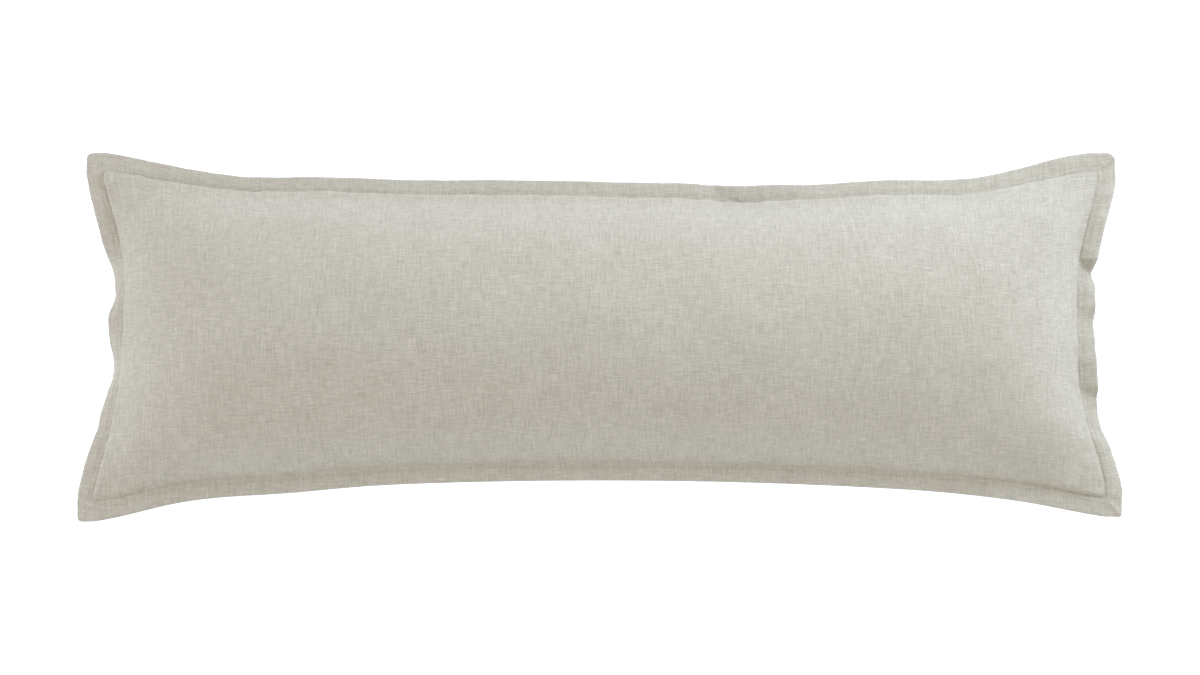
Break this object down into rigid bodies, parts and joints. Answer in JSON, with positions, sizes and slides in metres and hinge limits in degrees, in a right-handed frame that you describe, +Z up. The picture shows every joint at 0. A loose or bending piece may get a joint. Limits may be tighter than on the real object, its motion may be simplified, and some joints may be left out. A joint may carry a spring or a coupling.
{
  "type": "lumbar pillow",
  "caption": "Long rectangular lumbar pillow in a plain linen cover with drawn-in sides, flared corners and a narrow topstitched flange, lying on its back.",
  "frame": {"origin": "on the surface the pillow lies on, under the middle of its box", "axes": "+X along the pillow, +Y towards the long side that is its top in use, +Z up out of its face"},
  "size_m": [0.9964, 0.357, 0.1462],
  "materials": {
    "linen": "matt plain-weave linen in a natural oatmeal colour, with fine slubs",
    "thread": "matt sewing thread, matched to the linen"
  },
  "bodies": {
    "root": {"pillow": "linen"}
  },
  "joints": []
}
